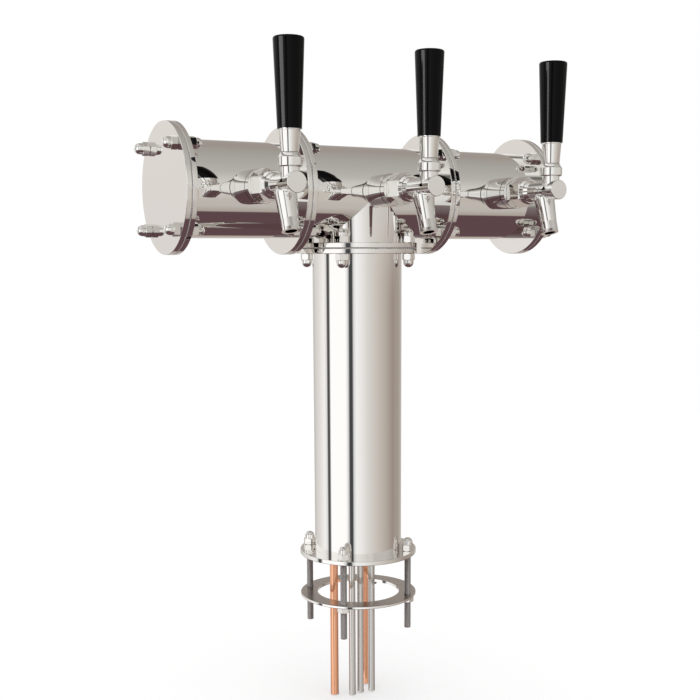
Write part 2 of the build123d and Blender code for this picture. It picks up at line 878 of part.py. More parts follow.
def make_valve_shaft(tap_x):
    """Rod from the slotted guide under the lever back to the seal."""
    guide_r = barrel_bore_r - valve_guide_gap
    guide_front = lever_reach + valve_guide_length / 2
    guide_rear = lever_reach - valve_guide_length / 2
    seal_front = body_rear_reach - seal_seat_gap
    seal_rear = seal_front - seal_thickness
    slot_floor = pivot_height - lever_tail_length - lever_tip_ball_d / 2 - valve_slot_floor_gap
    with BuildPart() as valve_shaft:
        shaft_outline = [
            (seal_rear - seal_disc_thickness, 0),
            (seal_rear - seal_disc_thickness, valve_rod_d),
            (seal_rear, valve_rod_d),
            (seal_rear, valve_rod_d / 2),
            (guide_rear - valve_neck_length, valve_rod_d / 2),
            (guide_rear, guide_r),
            (guide_front, guide_r),
            (guide_front, 0),
        ]
        revolve(outline(tap_side(tap_x), shaft_outline), axis=tap_axis(tap_x))
        slot_level = lever_level(tap_x, slot_floor - pivot_height)
        with BuildSketch(slot_level):
            Rectangle(valve_slot_width, valve_slot_length)
        extrude(amount=barrel_bore_r, mode=Mode.SUBTRACT)
    return valve_shaft


def make_valve_seal(tap_x):
    """Rubber disc that closes on the rear seat."""
    seal_front = body_rear_reach - seal_seat_gap
    with BuildPart() as valve_seal:
        with BuildSketch(tap_front(tap_x, seal_front - seal_thickness)):
            Circle(seal_d / 2)
            Circle(valve_rod_d / 2 + thread_gap, mode=Mode.SUBTRACT)
        extrude(amount=seal_thickness)
    return valve_seal


# ---- Lines --------------------------------------------------------------


def make_line(points, outer_d, wall):
    """Bent metal tube along straight runs with one bend radius."""
    with BuildPart() as line:
        with BuildLine() as route:
            FilletPolyline(*points, radius=line_bend_radius)
        start = Plane(origin=route.line @ 0, z_dir=route.line % 0)
        with BuildSketch(start):
            Circle(outer_d / 2)
            Circle(outer_d / 2 - wall, mode=Mode.SUBTRACT)
        sweep()
    return line


line_start_z = -line_end_drop
line_end_y = -(shank_tail_reach + line_socket_depth - line_socket_gap)

line_routes = {
    "left_beer_line": [
        (left_line_x, line_row_y, line_start_z),
        (left_line_x, line_row_y, run_z),
        (tap_positions["left"], line_row_y, run_z),
        (tap_positions["left"], line_end_y, run_z),
    ],
    "middle_beer_line": [
        (0, middle_line_y, line_start_z),
        (0, middle_line_y, run_z),
        (0, line_end_y, run_z),
    ],
    "right_beer_line": [
        (right_line_x, line_row_y, line_start_z),
        (right_line_x, line_row_y, run_z),
        (tap_positions["right"], line_row_y, run_z),
        (tap_positions["right"], line_end_y, run_z),
    ],
}
cooling_route = [
    (cooling_supply_x, cooling_supply_y, line_start_z),
    (cooling_supply_x, cooling_supply_y, cooling_crest_z),
    (cooling_return_x, cooling_return_y, cooling_crest_z),
    (cooling_return_x, cooling_return_y, line_start_z),
]

# ---- Build and write every piece ----------------------------------------

os.makedirs("parts", exist_ok=True)

keep(make_column_tube(), "column_tube")
keep(make_tee_body(), "tee_body")
keep(make_arm_pipe(-arm_end_x, tap_positions["left"]), "left_pipe")
keep(make_arm_pipe(arm_start_x, tap_positions["right"]), "right_pipe")

keep(make_flange(Plane.XY, base_flange_thickness, flange_bore_r), "base_flange")
flange_planes = {
    "column_top_flange": Plane.XY.offset(column_height - flange_thickness),
    "tee_bottom_flange": Plane.XY.offset(tee_bottom_z),
    "tee_left_flange": across(-tee_half_length),
    "tee_right_flange": across(tee_half_length - flange_thickness),
    "left_inner_flange": across(-arm_start_x - flange_thickness),
    "right_inner_flange": across(arm_start_x),
    "left_outer_flange": across(-arm_end_x),
    "right_outer_flange": across(arm_end_x - flange_thickness),
}
for label, plane in flange_planes.items():
    keep(make_flange(plane, flange_thickness, flange_bore_r), label)
keep(make_flange(across(-cover_x - flange_thickness), flange_thickness), "left_end_cover")
keep(make_flange(across(cover_x), flange_thickness), "right_end_cover")
keep(make_flange_gaskets(), "flange_gaskets")

dome_nut_shape = make_dome_nut()
keep(make_joint_studs(), "joint_studs")
keep(make_joint_dome_nuts(dome_nut_shape), "joint_dome_nuts")
keep(make_mounting_rods(), "mounting_rods")
keep(make_base_dome_nuts(dome_nut_shape), "base_dome_nuts")
keep(make_clamp_ring(), "clamp_ring")
keep(make_clamp_nuts(), "clamp_nuts")

keep(make_shank_pads(), "shank_pads")
keep(make_shank_locknuts(), "shank_locknuts")
keep(make_coupling_washers(), "coupling_washers")
keep(make_ball_washers(), "ball_washers")

tap_makers = {
    "shank": make_shank,
    "shank_sleeve": make_shank_sleeve,
    "coupling_nut": make_coupling_nut,
    "faucet_body": make_faucet_body,
    "bonnet": make_bonnet,
    "lever": make_lever,
    "ferrule": make_ferrule,
    "grip": make_grip,
    "valve_shaft": make_valve_shaft,
    "valve_seal": make_valve_seal,
}
for side, tap_x in tap_positions.items():
    for piece_name, make_piece in tap_makers.items():
        keep(make_piece(tap_x), f"{side}_{piece_name}")

for label, points in line_routes.items():
    keep(make_line(points, beer_line_d, beer_line_wall), label)
keep(make_line(cooling_route, cooling_line_d, cooling_line_wall), "cooling_line")
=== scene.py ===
# %% [markdown]
# # A beer tower in polished steel
#
# This notebook dresses the solid model of a three-tap beer tower. The tower is
# a T of mirror-polished pipe, bolted together at flanges. The solids come from
# the CAD model, in metres and in their places, so nothing here is fitted by
# eye. What is left to do is what the eye meets: mirror steel, rolled threads,
# copper, glossy plastic and a bright studio.

# %% Load the solid model
import json
import math

import bmesh
import bpy
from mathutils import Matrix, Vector


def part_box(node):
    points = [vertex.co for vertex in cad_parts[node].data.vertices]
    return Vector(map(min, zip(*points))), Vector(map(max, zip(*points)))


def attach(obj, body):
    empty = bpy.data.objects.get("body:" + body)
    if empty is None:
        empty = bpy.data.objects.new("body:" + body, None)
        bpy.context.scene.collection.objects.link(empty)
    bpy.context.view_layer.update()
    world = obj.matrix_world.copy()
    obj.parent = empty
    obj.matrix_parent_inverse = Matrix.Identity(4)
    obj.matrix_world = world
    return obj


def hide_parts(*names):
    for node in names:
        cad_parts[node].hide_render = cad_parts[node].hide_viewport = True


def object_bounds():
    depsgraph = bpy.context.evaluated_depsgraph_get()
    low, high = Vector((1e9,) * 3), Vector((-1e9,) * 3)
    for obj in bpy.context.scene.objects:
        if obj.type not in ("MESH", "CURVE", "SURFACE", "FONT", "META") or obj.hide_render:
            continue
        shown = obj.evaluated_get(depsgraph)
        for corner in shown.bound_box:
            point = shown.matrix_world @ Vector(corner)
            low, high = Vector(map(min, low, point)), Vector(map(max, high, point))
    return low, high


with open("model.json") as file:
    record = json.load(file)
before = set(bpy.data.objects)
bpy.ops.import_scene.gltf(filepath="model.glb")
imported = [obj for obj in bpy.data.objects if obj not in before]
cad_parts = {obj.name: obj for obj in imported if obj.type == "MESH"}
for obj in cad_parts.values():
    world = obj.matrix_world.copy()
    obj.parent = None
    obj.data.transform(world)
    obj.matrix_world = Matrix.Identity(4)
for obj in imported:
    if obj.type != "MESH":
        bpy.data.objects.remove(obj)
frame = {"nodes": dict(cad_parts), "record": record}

cad_low, cad_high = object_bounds()
scene = bpy.context.scene
nodes = frame["nodes"]
print("solid model", [round(v, 4) for v in cad_high - cad_low], "metres")

# %% [markdown]
# ## The camera
#
# A tall object is best shown from some distance with a longish lens, so that
# the upright pipe hardly tapers. The camera stands to the left of the taps, a
# little below the cross pipe, and is tipped slightly down. The sensor shift
# slides the picture without turning the camera any further. The Standard view
# transform shows colours as they are written, without a film look.

# %% Camera
camera_data = bpy.data.cameras.new("camera")
camera_data.lens = 59.27
camera_data.shift_x = -0.0248
camera_data.shift_y = 0.1155
camera = bpy.data.objects.new("camera", camera_data)
camera.location = (-0.64288, -1.16258, 0.35187)
camera_tilt, camera_roll, camera_turn = 81.11, 0.14, -29.45
camera.rotation_euler = [math.radians(a) for a in (camera_tilt, camera_roll, camera_turn)]
scene.collection.objects.link(camera)
scene.camera = camera
scene.view_settings.view_transform = "Standard"
print("camera looks down by", round(90 - camera_tilt, 2), "degrees")

# %% [markdown]
# ## Two small tools
#
# Paint and metal colours are easy to write as the hex codes of a colour
# picker, but a renderer adds light, so it needs them as linear amounts. And a
# material is a small machine of nodes: one function that adds a node, sets it
# and links it keeps those machines readable.


# %% Colours and nodes
def linear(hex_code):
    """Linear red, green, blue and alpha of an sRGB hex colour."""
    shares = [int(hex_code[i:i + 2], 16) / 255 for i in (1, 3, 5)]
    curve = [s / 12.92 if s <= 0.04045 else ((s + 0.055) / 1.055) ** 2.4 for s in shares]
    return (*curve, 1.0)


def add_node(tree, kind, settings=None, **inputs):
    """Add a node, set its properties, and set or link its inputs."""
    new = tree.nodes.new(kind)
    for name, value in (settings or {}).items():
        setattr(new, name, value)
    for name, value in inputs.items():
        place = name.replace("_", " ")
        socket = new.inputs[int(name[1:])] if name[1:].isdigit() else new.inputs[place]
        if isinstance(value, bpy.types.NodeSocket):
            tree.links.new(value, socket)
        else:
            socket.default_value = value
    return new


polished_hex = "#EDEBE8"
print("polished steel is", [round(c, 3) for c in linear(polished_hex)[:3]], "in linear light")

# %% [markdown]
# ## A studio made of light
#
# Mirror steel has no colour of its own: all that the eye sees on it is the
# room. So the room is the first material. It could be built from cards and
# lamps, but a ring of colours round the horizon is simpler to tune: bright
# soft boxes, thin dark edges between them, and a warm grey side. Plain light
# for plastic and rubber, and the white behind the tower, come from the same
# world through a Light Path switch.

# %% The ring of light round the tower
# Compass angle in degrees (0 is in front of the taps, -90 the end on the left) and colour
room_ring = [
    (-180, "#C0BEBA"), (-170, "#CFCDCB"), (-150, "#DDD9D6"), (-126, "#F2F2F2"), (-117, "#DCDCDC"),
    (-113, "#4A4A4A"), (-107, "#505050"), (-103, "#FFFFFF"), (-60, "#FFFFFF"), (-55, "#E4E4E5"),
    (-51.5, "#B8B9BA"), (-49.5, "#434547"), (-42, "#434547"), (-39, "#D0D2D2"), (-32, "#F0F1F1"),
    (-17, "#E6E6E5"), (-1, "#D5D3D0"), (10, "#CECAC6"), (33, "#BEB8B0"), (59, "#AAA098"),
    (75, "#998C85"), (94, "#A0978F"), (106, "#A0978F"), (125, "#B4AEA8"), (180, "#C0BEBA"),
]
# Angle over the cross pipe in degrees (0 is in front, 90 overhead, -90 straight down) and colour
room_arch = [
    (-180, "#C4C0BB"), (-170, "#BAB2AC"), (-160, "#B4ACA6"), (-150, "#AFA39C"), (-142.5, "#AA9E97"),
    (-141.5, "#5C464A"), (-55.5, "#5C464A"), (-54.5, "#A79E97"), (-40, "#B9B5B0"), (-30, "#BBB6B1"),
    (-10, "#C3C0BC"), (0, "#D0CECB"), (20, "#C8C6C2"), (40, "#B4B2AF"), (60, "#ACAAA6"),
    (90, "#A3A19C"), (100, "#A09D97"), (120, "#9B938E"), (150, "#9B938E"), (170, "#B0ACA8"), (180, "#C4C0BB"),
]
# Height on the left side, from -1 straight down to 1 straight up, and colour
room_left = [
    (-1, "#5C464A"), (-0.7, "#5C464A"), (-0.6, "#6E6164"), (-0.42, "#827779"), (-0.32, "#D4D0CD"),
    (0.13, "#DAD6D3"), (0.2, "#FAFAFA"), (0.38, "#F4F4F3"), (0.5, "#BDBBB8"), (0.62, "#5E5C5A"),
    (0.7, "#F4F4F4"), (1, "#B4B1AE"),
]
print("ring, arch and left side have", len(room_ring), len(room_arch), len(room_left), "stops")

# %% [markdown]
# A direction has a compass angle, an angle over the cross pipe and a height.
# Near the horizon the ring gives the colour. Steeper than that, the arch does
# on the right, where the cross pipe's mirror looks, and the left side's own
# heights do at the back left, where the round hardware looks. At the front
# left the ring's panels stand taller, from the table top up, so the spouts and
# the base flange show their dark edges too.
#
# Arithmetic reads best as a list of steps. Each step here is a new name, an
# operation, and numbers or names that are already known.

# %% What each direction is
# Parts of a direction, from -1 to 1: the ring's middle, the table's edge, and where the ring's panels end
horizon_height, table_height = -0.15, -0.4
rightward_fade, backward_fade, above_fade = (-0.1, 0.25), (0.5, 0.7), (0.33, 0.45)
world = bpy.data.worlds.new("studio")
world.use_nodes = True
scene.world = world
tree = world.node_tree
tree.nodes.clear()
direction = add_node(tree, "ShaderNodeTexCoord").outputs["Generated"]
parts = add_node(tree, "ShaderNodeSeparateXYZ", i0=direction).outputs
seen = {axis: parts[axis] for axis in "XYZ"}
for name, axis, (start, full) in (("rightward", "X", rightward_fade), ("backward", "Y", backward_fade),
                                  ("above", "Z", above_fade)):
    seen[name] = add_node(tree, "ShaderNodeMapRange", i0=seen[axis], i1=start, i2=full).outputs[0]
for name, operation, *values in (
    ("front", "MULTIPLY", "Y", -1.0),
    ("compass turn", "ARCTAN2", "X", "front"),
    ("compass", "DEGREES", "compass turn"),
    ("over turn", "ARCTAN2", "Z", "front"),
    ("over", "DEGREES", "over turn"),
    ("from horizon", "SUBTRACT", "Z", horizon_height),
    ("steepness", "ABSOLUTE", "from horizon"),
    ("table", "LESS_THAN", "Z", table_height),
    ("table or right", "MAXIMUM", "table", "rightward"),
    ("or back", "MAXIMUM", "table or right", "backward"),
    ("off ring", "MAXIMUM", "or back", "above"),
):
    inputs = {f"i{place}": seen.get(value, value) for place, value in enumerate(values)}
    seen[name] = add_node(tree, "ShaderNodeMath", {"operation": operation}, **inputs).outputs[0]
print("a direction has", len(seen), "measures")

# %% [markdown]
# A colour ramp turns a number into a colour. A ramp counts from 0 to 1, so the
# number is scaled to that first. The ring gives way softly to the colours
# above and below it. The table top is part of the arch, so it stays sharp on
# every piece.

# %% The colour of each direction
horizon_inner, horizon_outer = 0.1, 0.24
half_turn = 180


def ramp_colour(tree, value, stops, low, high):
    """The colour that (place, hex) stops give a value, places and value between low and high."""
    scaled = add_node(tree, "ShaderNodeMapRange", i0=value, i1=low, i2=high)
    ramp = add_node(tree, "ShaderNodeValToRGB", i0=scaled.outputs[0])
    elements = ramp.color_ramp.elements
    while len(elements) > 1:
        elements.remove(elements[-1])
    for index, (place, hex_code) in enumerate(stops):
        share = (place - low) / (high - low)
        stop = elements[0] if index == 0 else elements.new(share)
        stop.position, stop.color = share, linear(hex_code)
    return ramp.outputs["Color"]


steep = add_node(tree, "ShaderNodeMapRange", {"interpolation_type": "SMOOTHSTEP"},
                 i0=seen["steepness"], i1=horizon_inner, i2=horizon_outer)
high_share = add_node(tree, "ShaderNodeMath", {"operation": "MULTIPLY"},
                      i0=steep.outputs[0], i1=seen["off ring"])
ring_colour = ramp_colour(tree, seen["compass"], room_ring, -half_turn, half_turn)
arch_colour = ramp_colour(tree, seen["over"], room_arch, -half_turn, half_turn)
left_colour = ramp_colour(tree, seen["Z"], room_left, -1, 1)
high_colour = add_node(tree, "ShaderNodeMix", {"data_type": "RGBA"},
                       i0=seen["rightward"], i6=left_colour, i7=arch_colour)
room = add_node(tree, "ShaderNodeMix", {"data_type": "RGBA"},
                i0=high_share.outputs[0], i6=ring_colour, i7=high_colour.outputs[2])
print("the room's colours take", len(tree.nodes), "nodes")

# %% [markdown]
# Light Path tells which kind of ray asks for a colour. Mirrors see the room,
# the camera sees plain white, and matt surfaces get plain light.

# %% What each ray sees
room_mirror_strength, room_plain_strength = 1.18, 0.85


def seen_by(tree, *kinds):
    """One where the ray is of any of these kinds, such as Is Glossy Ray."""
    path = add_node(tree, "ShaderNodeLightPath").outputs
    total = path[kinds[0]]
    for kind in kinds[1:]:
        total = add_node(tree, "ShaderNodeMath", {"operation": "MAXIMUM"}, i0=total, i1=path[kind]).outputs[0]
    return total


mirror_light = add_node(tree, "ShaderNodeBackground", Color=room.outputs[2], Strength=room_mirror_strength)
plain_light = add_node(tree, "ShaderNodeBackground", Color=linear("#FFFFFF"), Strength=room_plain_strength)
backdrop = add_node(tree, "ShaderNodeBackground", Color=linear("#FFFFFF"), Strength=1.0)
in_mirrors = add_node(tree, "ShaderNodeMixShader", i0=seen_by(tree, "Is Glossy Ray", "Is Transmission Ray"),
                      i1=plain_light.outputs[0], i2=mirror_light.outputs[0])
all_rays = add_node(tree, "ShaderNodeMixShader", i0=seen_by(tree, "Is Camera Ray"),
                    i1=in_mirrors.outputs[0], i2=backdrop.outputs[0])
add_node(tree, "ShaderNodeOutputWorld", Surface=all_rays.outputs[0])
print("the world mixes", len(tree.nodes), "nodes")

# %% [markdown]
# ## A strip light for the black grips
#
# Black plastic mirrors only a small part of the light, so an even room leaves
# it flat. With a tall light to one side, each grip shows one soft upright
# highlight that tells its roundness. A brighter panel in the room would do so
# too, but the steel would mirror it. Light linking lets only the grips see
# this light, so it makes no glints on the polished steel.

# %% Strip light
strip_width, strip_height, strip_watts = 0.56, 1.0, 25.0
strip_place, strip_target = Vector((-1.17, -0.27, 0.5)), Vector((0.0, -0.15, 0.5))
strip_data = bpy.data.lights.new("strip_light", "AREA")
strip_data.shape = "RECTANGLE"
strip_data.size, strip_data.size_y, strip_data.energy = strip_width, strip_height, strip_watts
strip = bpy.data.objects.new("strip_light", strip_data)
strip.location = strip_place
strip.rotation_euler = (strip_target - strip_place).to_track_quat("-Z", "Y").to_euler()
strip.visible_camera = False
scene.collection.objects.link(strip)
lit_by_strip = bpy.data.collections.new("lit_by_strip")
for side in ("left", "middle", "right"):
    lit_by_strip.objects.link(nodes[side + "_grip"])
strip.light_linking.receiver_collection = lit_by_strip
print("strip light is", round((strip_target - strip_place).length, 2), "metres away")

# %% [markdown]
# ## The floor
#
# The floor lies just below the ends of the beer lines. It is pale and takes a
# soft shadow. It could be swept up into a wall, but the world is white behind
# it already, so a flat disc is enough: for the camera alone it glows a little,
# and runs into that white. Mirrors don't see it, because the world already
# holds the table top that they show.

# %% Floor
floor_radius, floor_gap, floor_sides = 2.6, 0.001, 96
floor_mesh = bpy.data.meshes.new("floor")
rim = [(math.cos(a) * floor_radius, math.sin(a) * floor_radius, cad_low.z - floor_gap)
       for a in (math.tau * k / floor_sides for k in range(floor_sides))]
floor_mesh.from_pydata(rim, [], [list(range(floor_sides))])
floor = bpy.data.objects.new("floor", floor_mesh)
floor.visible_glossy = False
scene.collection.objects.link(floor)

floor_paint = bpy.data.materials.new("floor_paint")
floor_paint.use_nodes = True
tree = floor_paint.node_tree
tree.nodes.clear()
floor_hex, floor_glow = "#D8D8D8", 0.45
pale = add_node(tree, "ShaderNodeBsdfDiffuse", Color=linear(floor_hex))
glow = add_node(tree, "ShaderNodeEmission", Color=linear("#FFFFFF"), Strength=floor_glow)
lit = add_node(tree, "ShaderNodeAddShader", i0=pale.outputs[0], i1=glow.outputs[0])
floor_all = add_node(tree, "ShaderNodeMixShader", i0=seen_by(tree, "Is Camera Ray"),
                     i1=pale.outputs[0], i2=lit.outputs[0])
add_node(tree, "ShaderNodeOutputMaterial", Surface=floor_all.outputs[0])
floor_mesh.materials.append(floor_paint)
print("floor at", round(cad_low.z - floor_gap, 4), "metres")

# %% [markdown]
# ## Bare metal
#
# The tower is stainless steel, polished on buffing wheels until it is a
# mirror. The wheels leave marks too fine to see one by one, so they show only
# as a little unevenness in the gloss, drawn coarser than it really is. An image
# of scratches could give that, but it needs a map of every surface. A noise
# pattern has no seams and has its size in millimetres, and a stretched one
# gives the fine streaks of drawn tube and brushed plate.

# %% Metal
noise_low, noise_high = 0.3, 0.7
mirror_roughness, rod_roughness = 0.012, 0.36


def metal(name, hex_code, roughness, uneven, streak_mm, along=(1.0, 1.0, 1.0)):
    """A bare metal: gloss that varies on a pattern of a real size, stretched along its working direction."""
    made = bpy.data.materials.new(name)
    made.use_nodes = True
    tree = made.node_tree
    shader = tree.nodes["Principled BSDF"]
    shader.inputs["Base Color"].default_value = linear(hex_code)
    shader.inputs["Metallic"].default_value = 1.0
    place = add_node(tree, "ShaderNodeTexCoord").outputs["Object"]
    stretched = add_node(tree, "ShaderNodeMapping", Vector=place, Scale=along)
    marks = add_node(tree, "ShaderNodeTexNoise", Vector=stretched.outputs[0],
                     Scale=1000.0 / streak_mm, Detail=3.0, Roughness=0.6)
    gloss = add_node(tree, "ShaderNodeMapRange", i0=marks.outputs["Fac"], i1=noise_low, i2=noise_high,
                     i3=max(roughness - uneven, 0.0), i4=roughness + uneven)
    tree.links.new(gloss.outputs[0], shader.inputs["Roughness"])
    return made


# Stainless steel, buffed: a sharp mirror, a little warm
mirror_steel = metal("mirror_polished_stainless", polished_hex, mirror_roughness,
                     uneven=0.008, streak_mm=12.0)
# Stainless tube, drawn through a die: bright, with faint streaks along it
drawn_steel = metal("drawn_stainless_tube", "#D6D3D0", 0.1, uneven=0.03, streak_mm=0.9,
                    along=(1.0, 1.0, 0.05))
# Steel rod with a thread rolled between dies: dull grey, so each groove shades softly
rolled_thread = metal("rolled_thread_steel", "#BBB8B6", rod_roughness, uneven=0.06, streak_mm=1.5)
# Soft copper tube, bent and still bare: an orange gleam
copper = metal("bent_copper_tube", "#F7B793", 0.1, uneven=0.04, streak_mm=3.0, along=(1.0, 1.0, 0.2))
print("the dull rods are", round(rod_roughness / mirror_roughness), "times as rough as the mirror")

# %% [markdown]
# ## Moulded and pressed stuff
#
# The grips are phenolic, pressed hot in a polished mould, so they come out
# black and glossy. Rubber and gasket fibre come out matt. All three have a
# skin texture far too fine to change a piece's outline, so a faint bump is
# enough for it.

# %% Plastic and fibre
skin_depth, gloss_spread = 0.0001, 0.2


def moulded(name, hex_code, roughness, grain_mm, dent, specular=0.5):
    """A moulded plastic or rubber: one colour, with a fine skin texture."""
    made = bpy.data.materials.new(name)
    made.use_nodes = True
    tree = made.node_tree
    shader = tree.nodes["Principled BSDF"]
    shader.inputs["Base Color"].default_value = linear(hex_code)
    shader.inputs["IOR"].default_value = 1.5
    shader.inputs["Specular IOR Level"].default_value = specular
    place = add_node(tree, "ShaderNodeTexCoord").outputs["Object"]
    skin = add_node(tree, "ShaderNodeTexNoise", Vector=place,
                    Scale=1000.0 / grain_mm, Detail=4.0, Roughness=0.55)
    gloss = add_node(tree, "ShaderNodeMapRange", i0=skin.outputs["Fac"], i1=noise_low, i2=noise_high,
                     i3=roughness * (1 - gloss_spread), i4=roughness * (1 + gloss_spread))
    tree.links.new(gloss.outputs[0], shader.inputs["Roughness"])
    bump = add_node(tree, "ShaderNodeBump", Strength=dent, Distance=skin_depth, Height=skin.outputs["Fac"])
    tree.links.new(bump.outputs[0], shader.inputs["Normal"])
    return made


# Phenolic from a polished mould: near black, with a soft edge to its highlight
black_plastic = moulded("glossy_black_phenolic", "#040405", 0.12, grain_mm=2.0, dent=0.002, specular=0.09)
# Pressed gasket fibre: a pale, matt line between two mirrors
pale_fibre = moulded("pale_fibre_sheet", "#B5B3AF", 0.6, grain_mm=0.4, dent=0.2)
print(black_plastic.name, "and", pale_fibre.name, "are made")

# %% [markdown]
# ## Two finishes on one piece
#
# The washer behind each tap is steel with a rubber face bonded to it. It could
# be cut in two, with a material for each part. But it is one solid and stays
# one, so the material itself changes from steel to rubber at a known reach
# from the pipe's axis. That leaves a bright rim next to a matt black one.

# %% Bonded washer
washer_face_reach, washer_seam = 0.0563, 0.0001


def bonded_washer(face_reach, edge):
    """A steel saddle washer with a black rubber face: rubber where the tap reaches past the steel."""
    made = moulded("bonded_rubber_and_steel", "#141414", 0.5, grain_mm=0.5, dent=0.2)
    tree = made.node_tree
    shader = tree.nodes["Principled BSDF"]
    steel = add_node(tree, "ShaderNodeBsdfPrincipled", Base_Color=linear(polished_hex), Metallic=1.0,
                     Roughness=0.05)
    place = add_node(tree, "ShaderNodeTexCoord").outputs["Object"]
    reach = add_node(tree, "ShaderNodeSeparateXYZ", i0=place).outputs["Y"]
    past = add_node(tree, "ShaderNodeMapRange", i0=reach, i1=-face_reach + edge, i2=-face_reach - edge)
    both = add_node(tree, "ShaderNodeMixShader", i0=past.outputs[0], i1=steel.outputs[0],
                    i2=shader.outputs[0])
    tree.links.new(both.outputs[0], tree.nodes["Material Output"].inputs["Surface"])
    return made


washer_rubber = bonded_washer(washer_face_reach, washer_seam)
print("the washers turn to rubber", round(washer_face_reach * 1000, 1), "mm from the pipe's axis")

# %% [markdown]
# The clamp ring is cut from plate. Its two faces are brushed and look soft and
# grey, and its cut edges are bright, so the material follows which way the
# surface faces.

# %% Cut plate
upright_limit = 0.7


def cut_plate(name, face_hex, edge_hex, face_roughness, edge_roughness):
    """Satin plate: its two faces are brushed, and its cut edges are bright."""
    made = metal(name, face_hex, face_roughness, uneven=face_roughness / 4, streak_mm=0.8,
                 along=(0.1, 1.0, 1.0))
    tree = made.node_tree
    face = tree.nodes["Principled BSDF"]
    edge = add_node(tree, "ShaderNodeBsdfPrincipled", Base_Color=linear(edge_hex), Metallic=1.0,
                    Roughness=edge_roughness)
    normal = add_node(tree, "ShaderNodeNewGeometry").outputs["True Normal"]
    facing = add_node(tree, "ShaderNodeSeparateXYZ", i0=normal).outputs["Z"]
    upright = add_node(tree, "ShaderNodeMath", {"operation": "ABSOLUTE"}, i0=facing)
    flat = add_node(tree, "ShaderNodeMath", {"operation": "GREATER_THAN"}, i0=upright.outputs[0],
                    i1=upright_limit)
    both = add_node(tree, "ShaderNodeMixShader", i0=flat.outputs[0], i1=edge.outputs[0],
                    i2=face.outputs[0])
    tree.links.new(both.outputs[0], tree.nodes["Material Output"].inputs["Surface"])
    return made


plate_steel = cut_plate("satin_stainless_plate", "#C3BCB5", "#F6F4F1", face_roughness=0.24,
                        edge_roughness=0.05)
print("the plate's material mixes", len(plate_steel.node_tree.nodes), "nodes")

# %% [markdown]
# ## Dressing the solids
#
# The record says which slot each node has, and one table says which finish
# fills each slot. A finish goes into the slots that the solid already has, so
# its mesh is left alone.

# %% A finish for every node
finish_of_slot = {
    "polished_steel": mirror_steel, "drawn_steel_tube": drawn_steel, "plain_steel_rod": rolled_thread,
    "plain_steel_plate": plate_steel, "copper_tube": copper, "pale_fibre": pale_fibre,
    "black_rubber": washer_rubber, "black_plastic": black_plastic,
}
slot_of_node = {entry["node"]: entry["material_slot"] for entry in frame["record"]["subparts"]}
for name, solid in nodes.items():
    for place in range(len(solid.material_slots)):
        solid.material_slots[place].material = finish_of_slot[slot_of_node[name]]
print("dressed", len(nodes), "solids in", len(finish_of_slot), "finishes")

# %% [markdown]
# ## Where the fasteners are
#
# The nuts and rods repeat, and the solid model already knows where each one
# sits. Its nodes hold loose triangles, so a copy is merged first, and then
# each separate solid is followed from point to point. That gives every
# fastener's two corners, and nothing has to be typed in twice.


# %% Separate solids of a node
def separate_solids(node):
    """Points of each separate solid in a CAD node."""
    copy = bmesh.new()
    copy.from_mesh(nodes[node].data)
    bmesh.ops.remove_doubles(copy, verts=copy.verts, dist=1e-6)
    place = nodes[node].matrix_world
    seen, solids = set(), []
    for first in copy.verts:
        if first in seen:
            continue
        seen.add(first)
        group, waiting = [], [first]
        while waiting:
            vert = waiting.pop()
            group.append(place @ vert.co)
            for edge in vert.link_edges:
                other = edge.other_vert(vert)
                if other not in seen:
                    seen.add(other)
                    waiting.append(other)
        solids.append(group)
    copy.free()
    return solids


def corners(points):
    """Lowest and highest corner of some points."""
    low = Vector([min(p[k] for p in points) for k in range(3)])
    high = Vector([max(p[k] for p in points) for k in range(3)])
    return low, high


rods = [corners(points) for points in separate_solids("mounting_rods")]
print("the base flange is held down by", len(rods), "rods")

# %% [markdown]
# A nut needs three things to be set down: its foot, the way it points, and
# the way that is outward, which one of its corners faces. The wide end is the
# foot. A nut along X is turned about the cross pipe's axis, and any other
# about the column's.

# %% Where each nut sits
run_low, run_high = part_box("left_pipe")
run_height = (run_low.z + run_high.z) / 2
end_share = 0.1


def seats(node, known_axis):
    """Foot, axis and outward direction of each nut; with no axis known, it is a nut's longest side."""
    found = []
    for points in separate_solids(node):
        low, high = corners(points)
        size = high - low
        along = known_axis if known_axis is not None else max(range(3), key=lambda k: size[k])
        centre = (low + high) / 2
        spread = []
        for end in (low[along], high[along]):
            ring = [p for p in points if abs(p[along] - end) < size[along] * end_share]
            spread.append(max((p - centre).length for p in ring) if ring else 0.0)
        foot_low = spread[0] >= spread[1]
        axis = Vector([float(k == along) for k in range(3)]) * (1.0 if foot_low else -1.0)
        foot = centre.copy()
        foot[along] = low[along] if foot_low else high[along]
        middle = Vector((foot.x, 0.0, run_height)) if along == 0 else Vector((0.0, 0.0, foot.z))
        found.append((foot, axis, (foot - middle).normalized()))
    return found


print("the cross pipe's middle is", round(run_height, 4), "metres up")

# %% [markdown]
# Copies are set down by Geometry Nodes, on the points of a small mesh. It
# holds one point for each fastener, with its axis and its outward direction as
# attributes that a tree can read.


# %% Points for the nuts
def point_cloud(name, places):
    """A mesh with a point for each (foot, axis, outward), kept as attributes."""
    mesh = bpy.data.meshes.new(name)
    mesh.from_pydata([foot for foot, _, _ in places], [], [])
    for label, column in (("axis", 1), ("outward", 2)):
        layer = mesh.attributes.new(label, "FLOAT_VECTOR", "POINT")
        for index, entry in enumerate(places):
            layer.data[index].vector = entry[column]
    return mesh


upright_axis = 2
nut_clouds = {node: point_cloud(node + "_points", seats(node, axis))
              for node, axis in (("joint_dome_nuts", None), ("base_dome_nuts", None),
                                 ("clamp_nuts", upright_axis))}
print("nuts to place", {node: len(cloud.vertices) for node, cloud in nut_clouds.items()})

